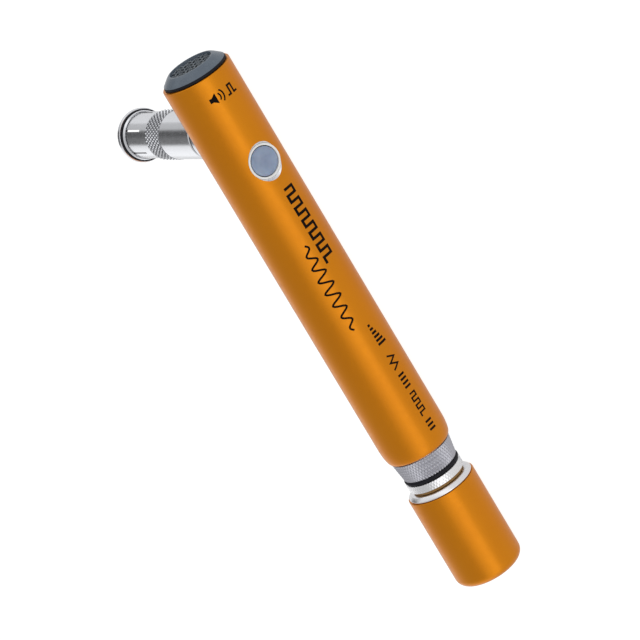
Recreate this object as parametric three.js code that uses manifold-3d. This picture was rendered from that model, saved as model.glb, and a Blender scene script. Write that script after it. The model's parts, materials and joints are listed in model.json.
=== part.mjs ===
// Pocket coax toner: an anodised pen-shaped barrel with a speaker cap, a press button, a push-on
// coax adapter that leaves the barrel sideways, and a screwed-on remote stored at the other end.
//
// Millimetres. X runs along the barrel from the remote's flat end (0) to the speaker grille,
// Y runs out of the barrel along the push-on adapter, and the button faces -Y. Z is up.

import * as THREE from "three";
import { mergeVertices } from "three/addons/utils/BufferGeometryUtils.js";
import Module from "manifold-3d";

const wasm = await Module();
wasm.setup();

// ---- driving dimensions -------------------------------------------------------------------
const GAP = 0.3;                // clearance between neighbouring pieces
const FINE = 40;                // segments round the outside pieces
const MEDIUM = 24;              // segments round the connector pieces
const COARSE = 14;              // segments round the small inner pieces

const BARREL_R = 7.94;          // 5/8 in bar stock
const BORE_R = 6.45;
const BARREL_START = 32.7;      // where the barrel ends beside the knurled collar
const BARREL_END = 129.2;
const BARREL_MOUTH_R = 7.1;     // outer radius of the rounded-in lower end
const BARREL_ROUND = 4.2;       // length of that rounding
const CAP_SEAT = 124.85;        // floor of the counterbore under the speaker cap
const CAP_SEAT_R = 7.1;

const REMOTE_LENGTH = 23.0;
const REMOTE_CORNER = 2.2;
const REMOTE_WALL = 1.05;
const REMOTE_END_WALL = 2.4;

const THREAD_R = 4.65;          // 3/8-32 coax thread, just under its major radius
const THREAD_HOLE_R = 4.95;     // the matching threaded hole
const CONTACT_R = 1.1;
const CONTACT_BORE_R = 0.65;
const PIN_R = 0.42;
const DIELECTRIC_R = 2.8;

const STUD_START = 16.0;        // free end of the coax jack inside the remote
const NECK_START = 24.75;
const NECK_END = 26.8;
const NECK_R = 6.6;
const COLLAR_START = 27.75;
const COLLAR_END = 32.4;
const COLLAR_SMALL_R = 6.4;
const COLLAR_LARGE_R = 7.05;
const SPIGOT_END = 39.0;

const BATTERY_START = 42.5;     // AAA cell
const BATTERY_LENGTH = 44.5;
const BATTERY_R = 5.15;

const BOARD_START = 90.0;
const BOARD_END = 120.0;
const BOARD_HALF_WIDTH = 5.5;
const BOARD_HALF_THICKNESS = 0.4;

const BUTTON_X = 107.1;
const BUTTON_R = 3.2;
const BUTTON_HOLE_R = 3.45;
const BUTTON_TRAVEL = 0.5;
const COUNTERSINK_DEPTH = 1.4;
const COUNTERSINK_SPREAD = 1.0;

const PORT_X = 114.1;           // axis of the sideways coax port
const PORT_TAIL_R = 3.6;
const PORT_FLANGE_R = 5.45;
const PORT_FLANGE_END = 8.6;
const PORT_END = 15.5;

const ADAPTER_START = 9.5;
const ADAPTER_R = 5.35;
const KNURL_START = 22.9;
const KNURL_END = 29.2;
const KNURL_R = 5.5;
const SLEEVE_R = 5.15;
const SOCKET_R = 4.72;          // slides over a 3/8 in coax jack
const SOCKET_FLOOR = 29.8;
const SLIT_START = 32.4;
const SLIT_END = 38.6;
const SLIT_WIDTH = 0.5;
const SLIT_PHASE = 46;          // degrees from +X towards +Z
const GRIP_RING_START = 39.4;   // black ring on a shoulder behind the sleeve's flange
const GRIP_RING_END = 39.85;
const SHOULDER_R = 5.42;
const RIM_START = 39.9;
const RIM_END = 41.0;
const RIM_R = 5.95;

// ---- finishes -----------------------------------------------------------------------------
const finish = (color, roughness, metalness) =>
  new THREE.MeshStandardMaterial({ color, roughness, metalness });
const FINISHES = {
  orangeAnodised: finish(0xdc8a14, 0.35, 0.7),
  brightAluminium: finish(0xe6e6ec, 0.3, 0.9),
  nickel: finish(0xb9bcc6, 0.2, 1.0),
  brass: finish(0xc9a24c, 0.3, 1.0),
  goldPlate: finish(0xd8b04a, 0.2, 1.0),
  springSteel: finish(0x9a9da3, 0.3, 1.0),
  darkPlastic: finish(0x39414c, 0.45, 0.0),
  grilleMesh: finish(0x14171c, 0.6, 0.2),
  clearButton: finish(0xa9b0ca, 0.25, 0.0),
  blackRubber: finish(0x15161a, 0.7, 0.0),
  tanRubber: finish(0x94682c, 0.6, 0.0),
  whiteDielectric: finish(0xf0efe8, 0.5, 0.0),
  greenBoard: finish(0x1f6b3a, 0.5, 0.0),
  blackEpoxy: finish(0x1b1b1d, 0.6, 0.0),
  greyCarrier: finish(0x6f747b, 0.6, 0.0),
  cellJacket: finish(0x2f3b52, 0.4, 0.1),
  amberLens: finish(0xf0c060, 0.2, 0.0),
};

// ---- shape helpers ------------------------------------------------------------------------
// An outline is a list of [along, radius] pairs whose outer side runs forwards along the axis.
// It starts and ends on the axis, or else it is closed here.
function lathe(outline, segments) {
  const closed = outline[0][1] > 0 ? [...outline, outline[0]] : outline;
  const points = closed.map(([along, radius]) => new THREE.Vector2(radius, along));
  return new THREE.LatheGeometry(points, segments);
}

const turnedX = (outline, segments = FINE) => lathe(outline, segments).rotateZ(-Math.PI / 2);

const turnedY = (outline, centreX, segments = MEDIUM) =>
  lathe(outline, segments).translate(centreX, 0, 0);

const rod = (start, end, radius) => [[start, 0], [start, radius], [end, radius], [end, 0]];

const tube = (start, end, inner, outer) =>
  [[start, outer], [end, outer], [end, inner], [start, inner]];

// Points on an arc of an ellipse, its angles in degrees from the axis direction.
function arc(along, radius, sizeAlong, sizeAcross, from, to, steps) {
  return Array.from({ length: steps + 1 }, (_, i) => {
    const angle = THREE.MathUtils.degToRad(from + ((to - from) * i) / steps);
    return [along + sizeAlong * Math.cos(angle), radius + sizeAcross * Math.sin(angle)];
  });
}

const ringSection = (along, radius, thickness, sides = 8) =>
  arc(along, radius, thickness, thickness, 180, -180, sides).slice(0, sides);

const block = (x0, x1, y0, y1, z0, z1) =>
  new THREE.BoxGeometry(x1 - x0, y1 - y0, z1 - z0)
    .translate((x0 + x1) / 2, (y0 + y1) / 2, (z0 + z1) / 2);

// ---- solid joins and cuts -----------------------------------------------------------------
function toSolid(geometry) {
  geometry.deleteAttribute("normal");
  geometry.deleteAttribute("uv");
  const merged = mergeVertices(geometry, 1e-4);
  const triVerts = [];
  for (let i = 0; i < merged.index.count; i += 3) {
    const [a, b, c] = [0, 1, 2].map((k) => merged.index.getX(i + k));
    if (a !== b && b !== c && c !== a) triVerts.push(a, b, c);
  }
  return new wasm.Manifold(new wasm.Mesh({
    numProp: 3,
    vertProperties: merged.getAttribute("position").array,
    triVerts: new Uint32Array(triVerts),
  }));
}

function toGeometry(solid) {
  const mesh = solid.getMesh();
  const geometry = new THREE.BufferGeometry();
  geometry.setAttribute("position", new THREE.BufferAttribute(mesh.vertProperties, 3));
  geometry.setIndex(new THREE.BufferAttribute(mesh.triVerts, 1));
  geometry.computeVertexNormals();
  return geometry;
}

function cut(geometry, ...tools) {
  return toGeometry(tools.reduce((solid, tool) => solid.subtract(toSolid(tool)), toSolid(geometry)));
}

function join(geometry, ...others) {
  return toGeometry(others.reduce((solid, other) => solid.add(toSolid(other)), toSolid(geometry)));
}

// ---- assembly -----------------------------------------------------------------------------
const toner = new THREE.Group();

function add(name, geometry, material) {
  const piece = new THREE.Mesh(geometry, material);
  piece.name = name;
  toner.add(piece);
}

// Barrel: turned tube, countersunk button hole on -Y, port hole on +Y.
function barrelTube() {
  const lip = 0.15;
  const body = turnedX([
    ...arc(BARREL_START + BARREL_ROUND, BARREL_MOUTH_R, BARREL_ROUND,
      BARREL_R - BARREL_MOUTH_R, 180, 90, 6),
    [BARREL_END - lip, BARREL_R],
    [BARREL_END, BARREL_R - lip],
    [BARREL_END, CAP_SEAT_R],
    [CAP_SEAT, CAP_SEAT_R],
    [CAP_SEAT, BORE_R],
    [BARREL_START, BORE_R],
  ]);
  const countersinkStart = -(BARREL_R + 0.06 - COUNTERSINK_DEPTH);
  const beyond = 1.0;
  const slope = COUNTERSINK_SPREAD / COUNTERSINK_DEPTH;
  const buttonHole = turnedY([
    [countersinkStart - COUNTERSINK_DEPTH - beyond, 0],
    [countersinkStart - COUNTERSINK_DEPTH - beyond,
      BUTTON_HOLE_R + COUNTERSINK_SPREAD + beyond * slope],
    [countersinkStart, BUTTON_HOLE_R],
    [-1, BUTTON_HOLE_R],
    [-1, 0],
  ], BUTTON_X);
  const portHole = turnedY(rod(1, BARREL_R + 1, PORT_TAIL_R + GAP), PORT_X);
  return cut(body, buttonHole, portHole);
}
add("barrel_tube", barrelTube(), FINISHES.orangeAnodised);

// Speaker end: domed cap pressed into the counterbore, mesh disc, gasket, piezo cup and disc.
const CAP_LIP_R = 7.4;
const CAP_LIP_START = BARREL_END + 0.12;
const CAP_LIP_END = 129.9;
const CAP_FACE_R = 5.15;
const CAP_FACE = 131.55;
const GRILLE_SEAT_R = 4.95;
const GRILLE_SEAT = 130.6;
add("top_cap", turnedX([
  [CAP_SEAT + 0.2, CAP_SEAT_R - 0.2],
  [CAP_LIP_START, CAP_SEAT_R - 0.2],
  [CAP_LIP_START, CAP_LIP_R],
  [CAP_LIP_END, CAP_LIP_R - 0.12],
  [CAP_FACE - 0.12, CAP_FACE_R + 0.2],
  [CAP_FACE, CAP_FACE_R],
  [CAP_FACE, GRILLE_SEAT_R],
  [GRILLE_SEAT, GRILLE_SEAT_R],
  [GRILLE_SEAT, 4.3],
  [CAP_SEAT + 0.2, 5.4],
]), FINISHES.darkPlastic);

function grilleDisc() {
  const thickness = 0.5;
  const pitch = 1.5;
  const holeR = 0.5;
  const hexagon = (x, y) => new THREE.Path(Array.from({ length: 6 }, (_, i) => {
    const corner = (i / 6) * 2 * Math.PI;
    return new THREE.Vector2(x + holeR * Math.cos(corner), y + holeR * Math.sin(corner));
  }));
  const disc = new THREE.Shape().absarc(0, 0, GRILLE_SEAT_R - 0.15, 0, 2 * Math.PI);
  const rings = [[0, 1], [1, 6], [2, 12]];
  for (const [ring, count] of rings) {
    for (let i = 0; i < count; i += 1) {
      const angle = (i / count) * 2 * Math.PI;
      disc.holes.push(hexagon(ring * pitch * Math.cos(angle), ring * pitch * Math.sin(angle)));
    }
  }
  const settings = { depth: thickness, bevelEnabled: false, curveSegments: MEDIUM / 2 };
  return new THREE.ExtrudeGeometry(disc, settings)
    .rotateY(Math.PI / 2)
    .translate(GRILLE_SEAT + 0.12, 0, 0);
}
add("speaker_grille", grilleDisc(), FINISHES.grilleMesh);

const SPEAKER_START = 120.5;
const SPEAKER_END = 123.7;
add("speaker_gasket", turnedX(tube(SPEAKER_END + 0.15, CAP_SEAT, 5.0, BORE_R - 0.2), MEDIUM),
  FINISHES.blackRubber);
add("speaker_case", turnedX([
  [SPEAKER_START, 0],
  [SPEAKER_START, BORE_R - GAP],
  [SPEAKER_END, BORE_R - GAP],
  [SPEAKER_END, 5.4],
  [SPEAKER_START + 0.7, 5.4],
  [SPEAKER_START + 0.7, 0],
], MEDIUM), FINISHES.blackEpoxy);
add("piezo_disc", turnedX(rod(SPEAKER_END - 1.3, SPEAKER_END - 0.9, 5.2), MEDIUM),
  FINISHES.brass);

// Button: dished clear cap in a white ring, retaining flange, rubber seal, switch and lamp.
const BUTTON_FACE = -7.4;
const BUTTON_DISH = 0.35;       // depth of the thumb dish in its face
const BUTTON_EDGE = -7.0;
const BUTTON_FLANGE_R = 4.4;
const BUTTON_FLANGE = -4.1;
const BUTTON_FOOT = -3.25;
const SWITCH_TOP = -2.3;
const SWITCH_HOLE_R = 1.4;
const BOARD_UNDERSIDE = -BOARD_HALF_THICKNESS - 0.1;
add("button_cap", turnedY([
  [BUTTON_FACE + BUTTON_DISH, 0],
  [BUTTON_FACE + BUTTON_DISH * 0.7, BUTTON_R * 0.5],
  [BUTTON_FACE, BUTTON_R * 0.85],
  [BUTTON_EDGE, BUTTON_R],
  [BUTTON_FLANGE, BUTTON_R],
  [BUTTON_FLANGE, BUTTON_FLANGE_R],
  [BUTTON_FOOT, BUTTON_FLANGE_R],
  [BUTTON_FOOT, 0],
], BUTTON_X), FINISHES.clearButton);
add("button_ring", turnedY([
  [-7.35, BUTTON_HOLE_R],
  [-7.35, 3.84],
  [-7.25, 3.86],
  [-6.8, 3.54],
  [-6.8, BUTTON_R + 0.18],
  [-7.25, BUTTON_R + 0.18],
], BUTTON_X), FINISHES.whiteDielectric);
add("button_seal", turnedY(tube(BUTTON_FLANGE - 0.5, BUTTON_FLANGE - 0.1, BUTTON_R + 0.2,
  BUTTON_FLANGE_R), BUTTON_X, COARSE), FINISHES.blackRubber);
add("switch_body", cut(
  block(BUTTON_X - 3, BUTTON_X + 3, SWITCH_TOP, BOARD_UNDERSIDE, -3, 3),
  turnedY(rod(SWITCH_TOP - 1, -1.0, SWITCH_HOLE_R), BUTTON_X, COARSE),
), FINISHES.blackEpoxy);
add("switch_plunger", turnedY(rod(BUTTON_FOOT + 0.15, -1.25 - BUTTON_TRAVEL, 1.1), BUTTON_X,
  COARSE), FINISHES.whiteDielectric);
add("status_lamp", turnedY([
  [-2.35, 0],
  [-2.1, 0.6],
  [-1.6, 0.9],
  [BOARD_UNDERSIDE, 0.9],
  [BOARD_UNDERSIDE, 0],
], BUTTON_X - 4.6, COARSE), FINISHES.amberLens);

// Circuit board with its parts, held between two rails of the carrier.
const BOARD_TOP = BOARD_HALF_THICKNESS + 0.1;
add("circuit_board", block(BOARD_START, BOARD_END, -BOARD_HALF_THICKNESS, BOARD_HALF_THICKNESS,
  -BOARD_HALF_WIDTH, BOARD_HALF_WIDTH), FINISHES.greenBoard);
add("tone_chip", block(95, 100, BOARD_TOP, BOARD_TOP + 1.3, -2, 2), FINISHES.blackEpoxy);
add("boost_inductor", turnedY(rod(BOARD_TOP, 3.2, 2.1), 104.6, COARSE), FINISHES.blackEpoxy);
add("smoothing_capacitor", block(91, 94, -2.1, BOARD_UNDERSIDE, -1.3, 1.3), FINISHES.brass);
add("driver_transistor", block(97, 100, -1.6, BOARD_UNDERSIDE, -0.8, 0.8),
  FINISHES.blackEpoxy);

const BULKHEAD_START = 87.7;
const BULKHEAD_END = 89.2;
function boardCarrier() {
  const railInner = BOARD_HALF_WIDTH - 0.6;
  const railOuter = 6.05;
  const railHalfHeight = 1.4;
  const slot = block(BOARD_START - 0.2, BOARD_END + 1, -BOARD_HALF_THICKNESS - 0.15,
    BOARD_HALF_THICKNESS + 0.15, -BOARD_HALF_WIDTH - 0.15, BOARD_HALF_WIDTH + 0.15);
  const rail = (side) => block(BULKHEAD_END - 0.5, BOARD_END - 0.3, -railHalfHeight,
    railHalfHeight, Math.min(side * railInner, side * railOuter),
    Math.max(side * railInner, side * railOuter));
  const bulkhead = turnedX(rod(BULKHEAD_START, BULKHEAD_END, BORE_R - 0.25), MEDIUM);
  return cut(join(bulkhead, rail(1), rail(-1)), slot);
}
add("board_carrier", boardCarrier(), FINISHES.greyCarrier);

// Power: one AAA cell in an insulating sleeve, pushed forwards by the spring in the plug.
const BATTERY_END = BATTERY_START + BATTERY_LENGTH;
add("battery_positive_contact", turnedX(rod(BATTERY_END + 0.15, BATTERY_END + 0.5, 3.0), COARSE),
  FINISHES.brass);
add("battery", turnedX([
  [BATTERY_START, 0],
  [BATTERY_START, BATTERY_R - 0.3],
  [BATTERY_START + 0.3, BATTERY_R],
  [BATTERY_END - 1.3, BATTERY_R],
  [BATTERY_END - 1.0, BATTERY_R - 0.3],
  [BATTERY_END - 1.0, 1.9],
  [BATTERY_END, 1.9],
  [BATTERY_END, 0],
], MEDIUM), FINISHES.cellJacket);
add("battery_sleeve", turnedX(tube(41.0, BATTERY_END, BATTERY_R + 0.25, BORE_R - 0.25), MEDIUM),
  FINISHES.whiteDielectric);

// Sideways coax port: saddle flange outside, tail and ring nut inside the barrel.
function portBody() {
  const bore = DIELECTRIC_R + 0.15;
  const flange = cut(turnedY(rod(2, PORT_FLANGE_END, PORT_FLANGE_R), PORT_X),
    turnedX(rod(PORT_X - 12, PORT_X + 12, BARREL_R + 0.15), FINE));
  const tail = turnedY(rod(1.2, PORT_FLANGE_END - 0.2, PORT_TAIL_R), PORT_X);
  const stud = turnedY([
    [PORT_FLANGE_END - 0.5, 0],
    [PORT_FLANGE_END - 0.5, THREAD_R],
    [PORT_END - 0.4, THREAD_R],
    [PORT_END, THREAD_R - 0.4],
    [PORT_END, 0],
  ], PORT_X);
  return cut(join(flange, tail, stud), turnedY(rod(0, PORT_END + 1, bore), PORT_X, COARSE));
}
add("port_body", portBody(), FINISHES.nickel);
add("port_nut", turnedY(tube(1.7, 3.1, PORT_TAIL_R + 0.2, 5.2), PORT_X), FINISHES.nickel);
add("port_washer", turnedY(tube(3.2, 3.5, PORT_TAIL_R + 0.2, 5.1), PORT_X), FINISHES.springSteel);

const dielectric = (start, front, end, outer) => [
  [start, outer],
  [end, outer],
  [end, PIN_R + 0.4],
  [front, PIN_R + 0.4],
  [front, CONTACT_R + 0.2],
  [start, CONTACT_R + 0.2],
];
const socketContact = (back, floor, mouth) => [
  [back, 0],
  [back, CONTACT_R],
  [mouth, CONTACT_R],
  [mouth, CONTACT_BORE_R],
  [floor, CONTACT_BORE_R],
  [floor, 0],
];
add("port_insulator", turnedY(dielectric(1.4, PORT_END - 0.8, PORT_END - 0.15, DIELECTRIC_R),
  PORT_X, COARSE), FINISHES.whiteDielectric);
add("port_contact", turnedY(socketContact(BOARD_TOP + 0.3, 6.0, PORT_END - 1.0), PORT_X, COARSE),
  FINISHES.goldPlate);

// Push-on adapter: screws on the port stud and slips over a coax jack with its slit sleeve.
add("adapter_gasket", turnedY(tube(PORT_FLANGE_END + 0.12, ADAPTER_START - 0.12, THREAD_R + 0.15,
  ADAPTER_R - 0.2), PORT_X), FINISHES.blackRubber);
const ADAPTER_WEB_START = 17.0;
const ADAPTER_WEB_END = 22.0;
const SLEEVE_ROOT_R = 4.5;
const SLEEVE_ROOT_BORE = DIELECTRIC_R + 0.35;
add("adapter_body", turnedY([
  [ADAPTER_START, ADAPTER_R],
  [KNURL_START, ADAPTER_R],
  [KNURL_START + 0.15, KNURL_R],
  [KNURL_END - 0.15, KNURL_R],
  [KNURL_END, KNURL_R - 0.15],
  [KNURL_END, SLEEVE_ROOT_R + 0.2],
  [ADAPTER_WEB_END, SLEEVE_ROOT_R + 0.2],
  [ADAPTER_WEB_END, DIELECTRIC_R + 0.2],
  [ADAPTER_WEB_START, DIELECTRIC_R + 0.2],
  [ADAPTER_WEB_START, THREAD_HOLE_R],
  [ADAPTER_START, THREAD_HOLE_R],
], PORT_X), FINISHES.nickel);

function adapterSleeve() {
  const shape = turnedY([
    [ADAPTER_WEB_END + 0.2, SLEEVE_ROOT_R],
    [KNURL_END + 0.15, SLEEVE_ROOT_R],
    [KNURL_END + 0.15, SLEEVE_R],
    [GRIP_RING_START - 0.3, SLEEVE_R + 0.05],
    [GRIP_RING_START - 0.1, SHOULDER_R],
    [RIM_START, SHOULDER_R],
    [RIM_START, RIM_R],
    [RIM_END - 0.15, RIM_R],
    [RIM_END, RIM_R - 0.15],
    [RIM_END, SOCKET_R],
    [SOCKET_FLOOR, SOCKET_R],
    [SOCKET_FLOOR, SLEEVE_ROOT_BORE],
    [ADAPTER_WEB_END + 0.2, SLEEVE_ROOT_BORE],
  ], PORT_X);
  const slit = (degrees) =>
    block(-RIM_R - 1, RIM_R + 1, SLIT_START, SLIT_END, -SLIT_WIDTH / 2, SLIT_WIDTH / 2)
      .rotateY(-THREE.MathUtils.degToRad(degrees))
      .translate(PORT_X, 0, 0);
  return cut(shape, ...[0, 60, 120].map((turn) => slit(SLIT_PHASE + turn)));
}
add("adapter_sleeve", adapterSleeve(), FINISHES.nickel);
add("grip_ring", turnedY(tube(GRIP_RING_START, GRIP_RING_END, SHOULDER_R + 0.06, RIM_R - 0.05),
  PORT_X), FINISHES.blackRubber);
add("adapter_insulator", turnedY(tube(ADAPTER_WEB_START + 0.3, SOCKET_FLOOR, PIN_R + 0.2,
  DIELECTRIC_R), PORT_X, COARSE), FINISHES.whiteDielectric);
const PIN_TIP = 36.2;
const pointedPin = (tail, tip) => [
  [tail, 0],
  [tail + 0.3, PIN_R],
  [tip - 0.5, PIN_R],
  [tip, 0],
];
add("adapter_pin", turnedY(pointedPin(9.0, PIN_TIP), PORT_X, 12), FINISHES.goldPlate);

// Plug: closes the barrel, carries the spring, and ends in the coax jack that the remote fits.
const GROOVE_R = 5.6;
const CAVITY_START = 30.5;
const CAVITY_R = 5.3;
const INSULATOR_BORE_END = 27.6;
add("plug_body", turnedX([
  [STUD_START, THREAD_R - 0.4],
  [STUD_START + 0.4, THREAD_R],
  [NECK_START, THREAD_R],
  [NECK_START, NECK_R],
  [NECK_END, NECK_R],
  [NECK_END, GROOVE_R],
  [COLLAR_START, GROOVE_R],
  [COLLAR_START, COLLAR_SMALL_R],
  [COLLAR_END, COLLAR_LARGE_R],
  [COLLAR_END, BORE_R - GAP],
  [SPIGOT_END, BORE_R - GAP],
  [SPIGOT_END, CAVITY_R],
  [CAVITY_START, CAVITY_R],
  [CAVITY_START, CONTACT_R + 0.3],
  [INSULATOR_BORE_END, CONTACT_R + 0.3],
  [INSULATOR_BORE_END, DIELECTRIC_R + 0.15],
  [STUD_START, DIELECTRIC_R + 0.15],
]), FINISHES.brightAluminium);
const ORING_SECTION = 0.4;
const ORING_R = 6.15;
add("plug_oring", turnedX(ringSection((NECK_END + COLLAR_START) / 2, ORING_R, ORING_SECTION),
  MEDIUM), FINISHES.blackRubber);
add("jack_insulator", turnedX([
  [STUD_START + 0.15, DIELECTRIC_R],
  [INSULATOR_BORE_END - 0.2, DIELECTRIC_R],
  [INSULATOR_BORE_END - 0.2, CONTACT_R + 0.2],
  [STUD_START + 0.8, CONTACT_R + 0.2],
  [STUD_START + 0.8, PIN_R + 0.4],
  [STUD_START + 0.15, PIN_R + 0.4],
], COARSE), FINISHES.whiteDielectric);
add("jack_contact", turnedX([
  [STUD_START + 1.0, CONTACT_R],
  [CAVITY_START - 0.1, CONTACT_R],
  [CAVITY_START - 0.1, 0],
  [STUD_START + 9.0, 0],
  [STUD_START + 9.0, CONTACT_BORE_R],
  [STUD_START + 1.0, CONTACT_BORE_R],
], COARSE), FINISHES.goldPlate);
add("battery_negative_contact", turnedX(rod(CAVITY_START + 0.15, CAVITY_START + 0.5, 4.6), COARSE),
  FINISHES.brass);

class ConicalCoil extends THREE.Curve {
  constructor(start, end, startR, endR, turns) {
    super();
    Object.assign(this, { start, end, startR, endR, turns });
  }

  getPoint(t, target = new THREE.Vector3()) {
    const angle = 2 * Math.PI * this.turns * t;
    const radius = THREE.MathUtils.lerp(this.startR, this.endR, t);
    const along = THREE.MathUtils.lerp(this.start, this.end, t);
    return target.set(along, radius * Math.cos(angle), radius * Math.sin(angle));
  }
}
function batterySpring() {
  const wireR = 0.3;
  const turns = 5;
  const stepsPerTurn = 12;
  const wire = new THREE.Shape().absarc(0, 0, wireR, 0, 2 * Math.PI);
  const coil = new ConicalCoil(CAVITY_START + 1.0, BATTERY_START - 0.5, 4.4, 2.6, turns);
  return new THREE.ExtrudeGeometry(wire, {
    steps: turns * stepsPerTurn, extrudePath: coil, curveSegments: 3,
  });
}
add("battery_spring", batterySpring(), FINISHES.springSteel);

// Remote: anodised shell over a bright threaded insert, with the load that answers the tone.
const SHELL_BORE_R = BARREL_R - REMOTE_WALL;
const INSERT_START = 10.0;
const INSERT_FLANGE_END = 24.05;
const INSERT_WEB_END = 12.5;
add("remote_shell", turnedX([
  [0, 0],
  ...arc(REMOTE_CORNER, BARREL_R - REMOTE_CORNER, REMOTE_CORNER, REMOTE_CORNER, 180, 90, 5),
  [REMOTE_LENGTH - 0.15, BARREL_R],
  [REMOTE_LENGTH, BARREL_R - 0.15],
  [REMOTE_LENGTH, SHELL_BORE_R],
  [REMOTE_END_WALL, SHELL_BORE_R],
  [REMOTE_END_WALL, 0],
]), FINISHES.orangeAnodised);
add("remote_insert", turnedX([
  [INSERT_START, SHELL_BORE_R - 0.25],
  [REMOTE_LENGTH + 0.1, SHELL_BORE_R - 0.25],
  [REMOTE_LENGTH + 0.1, 7.6],
  [REMOTE_LENGTH + 0.35, 7.6],
  [INSERT_FLANGE_END, 6.85],
  [INSERT_FLANGE_END, THREAD_HOLE_R],
  [INSERT_WEB_END, THREAD_HOLE_R],
  [INSERT_WEB_END, 3.2],
  [INSERT_START, 3.2],
]), FINISHES.brightAluminium);
add("remote_gasket", turnedX(tube(INSERT_FLANGE_END + 0.1, NECK_START - 0.1, THREAD_R + 0.2, 6.3),
  MEDIUM), FINISHES.tanRubber);
add("remote_insulator", turnedX(tube(INSERT_START + 0.2, INSERT_WEB_END - 0.2, PIN_R + 0.2, 3.0),
  COARSE), FINISHES.whiteDielectric);
add("remote_pin", turnedX(pointedPin(5.6, 21.0), 12), FINISHES.goldPlate);
add("terminator_board", turnedX(tube(8.2, 9.0, PIN_R + 0.2, 5.8), COARSE), FINISHES.greenBoard);
add("terminator_resistor", block(7.4, 8.05, -0.8, 0.8, 2.0, 5.0), FINISHES.blackEpoxy);
add("remote_potting", turnedX(rod(REMOTE_END_WALL + 0.2, 5.2, SHELL_BORE_R - 0.25), MEDIUM),
  FINISHES.blackEpoxy);

export default toner;
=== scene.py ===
import json
import math

import bmesh
import bpy
from mathutils import Matrix, Vector


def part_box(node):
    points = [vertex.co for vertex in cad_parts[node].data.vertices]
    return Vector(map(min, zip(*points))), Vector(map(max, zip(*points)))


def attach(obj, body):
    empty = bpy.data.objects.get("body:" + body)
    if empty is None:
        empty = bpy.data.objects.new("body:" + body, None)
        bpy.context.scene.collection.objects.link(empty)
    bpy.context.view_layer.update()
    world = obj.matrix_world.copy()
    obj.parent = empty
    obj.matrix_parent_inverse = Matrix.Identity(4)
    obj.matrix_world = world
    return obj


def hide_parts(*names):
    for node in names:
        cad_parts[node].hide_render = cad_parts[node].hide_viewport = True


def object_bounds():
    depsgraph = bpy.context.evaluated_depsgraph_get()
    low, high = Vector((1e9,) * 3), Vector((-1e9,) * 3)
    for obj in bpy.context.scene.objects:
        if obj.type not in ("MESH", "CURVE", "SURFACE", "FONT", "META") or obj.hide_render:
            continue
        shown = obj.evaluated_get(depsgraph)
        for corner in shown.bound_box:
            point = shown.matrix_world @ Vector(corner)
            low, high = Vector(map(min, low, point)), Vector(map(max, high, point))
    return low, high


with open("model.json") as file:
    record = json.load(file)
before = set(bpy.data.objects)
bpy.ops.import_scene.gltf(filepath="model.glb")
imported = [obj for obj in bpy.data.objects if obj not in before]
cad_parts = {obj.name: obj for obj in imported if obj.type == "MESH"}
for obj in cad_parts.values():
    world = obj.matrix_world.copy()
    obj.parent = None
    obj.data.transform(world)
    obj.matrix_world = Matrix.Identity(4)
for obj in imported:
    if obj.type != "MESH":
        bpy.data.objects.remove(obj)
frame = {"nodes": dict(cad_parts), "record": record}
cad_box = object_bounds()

# Pocket coax toner. X runs along the barrel to the grille and Y along the push-on adapter;
# the button faces -Y. The frame is in metres, and MM is one millimetre in it. Outlines for
# turned(), and the numbers in them, are plain millimetres.
MM = 0.001
ROUND = 128                     # steps round a large turned piece
TAU = 2 * math.pi

# ---- sizes read off the frame ---------------------------------------------------------------
barrel_low, barrel_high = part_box("barrel_tube")
BARREL_R = barrel_high.z
BARREL_START, BARREL_END = barrel_low.x, barrel_high.x
BORE_R = 6.45 * MM
CAP_SEAT_R = 7.1 * MM
CAP_SEAT = BARREL_END - 4.35 * MM
MOUTH_R = 7.1 * MM
MOUTH_ROUND = 4.2 * MM

button_low, button_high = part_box("button_cap")
BUTTON_X = (button_low.x + button_high.x) / 2
BUTTON_AXIS = Vector((BUTTON_X, 0, 0))
BUTTON_R = 3.2 * MM
BUTTON_HOLE_R = 3.45 * MM
COUNTERSINK_DEPTH = 1.4 * MM
COUNTERSINK_SPREAD = 1.0 * MM

port_low, port_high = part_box("port_body")
PORT_X = (port_low.x + port_high.x) / 2
PORT_AXIS = Vector((PORT_X, 0, 0))
PORT_FLANGE_R = 5.45 * MM
PORT_FLANGE_END = 8.6 * MM
THREAD_R = 4.65 * MM
THREAD_HOLE_R = 4.95 * MM
THREAD_PITCH = 0.79375 * MM     # 3/8-32 coax thread
THREAD_DEPTH = 0.4 * MM
THREAD_ROOT = 4.4 * MM          # vertices inside this radius aren't part of the thread
PORT_BORE_R = 2.95              # mm, bore of the coax port and of the jack on the plug


# ---- shapes ---------------------------------------------------------------------------------
def arc(along, radius, size_along, size_across, start, end, steps):
    """Points on an ellipse's arc, its angles in degrees from the axis direction."""
    angles = [math.radians(start + (end - start) * i / steps) for i in range(steps + 1)]
    return [(along + size_along * math.cos(a), radius + size_across * math.sin(a))
            for a in angles]


def steps_between(start, end, count):
    return [start + (end - start) * i / count for i in range(count + 1)]


def place(mesh_name, bm, body, replaced, material, smooth=35, weighted=True):
    """Turns a bmesh into a piece that rides on a body and stands for CAD nodes."""
    mesh = bpy.data.meshes.new(mesh_name)
    bm.to_mesh(mesh)
    bm.free()
    piece = bpy.data.objects.new(mesh_name, mesh)
    bpy.context.scene.collection.objects.link(piece)
    materials = material if isinstance(material, list) else [material]
    for entry in materials:
        mesh.materials.append(entry)
    mesh.shade_smooth()
    mesh.set_sharp_from_angle(angle=math.radians(smooth))
    if weighted:
        normals = piece.modifiers.new("weighted_normals", "WEIGHTED_NORMAL")
        normals.keep_sharp = True
    if body:
        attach(piece, body)
    if replaced:
        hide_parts(*replaced)
    return piece


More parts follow.
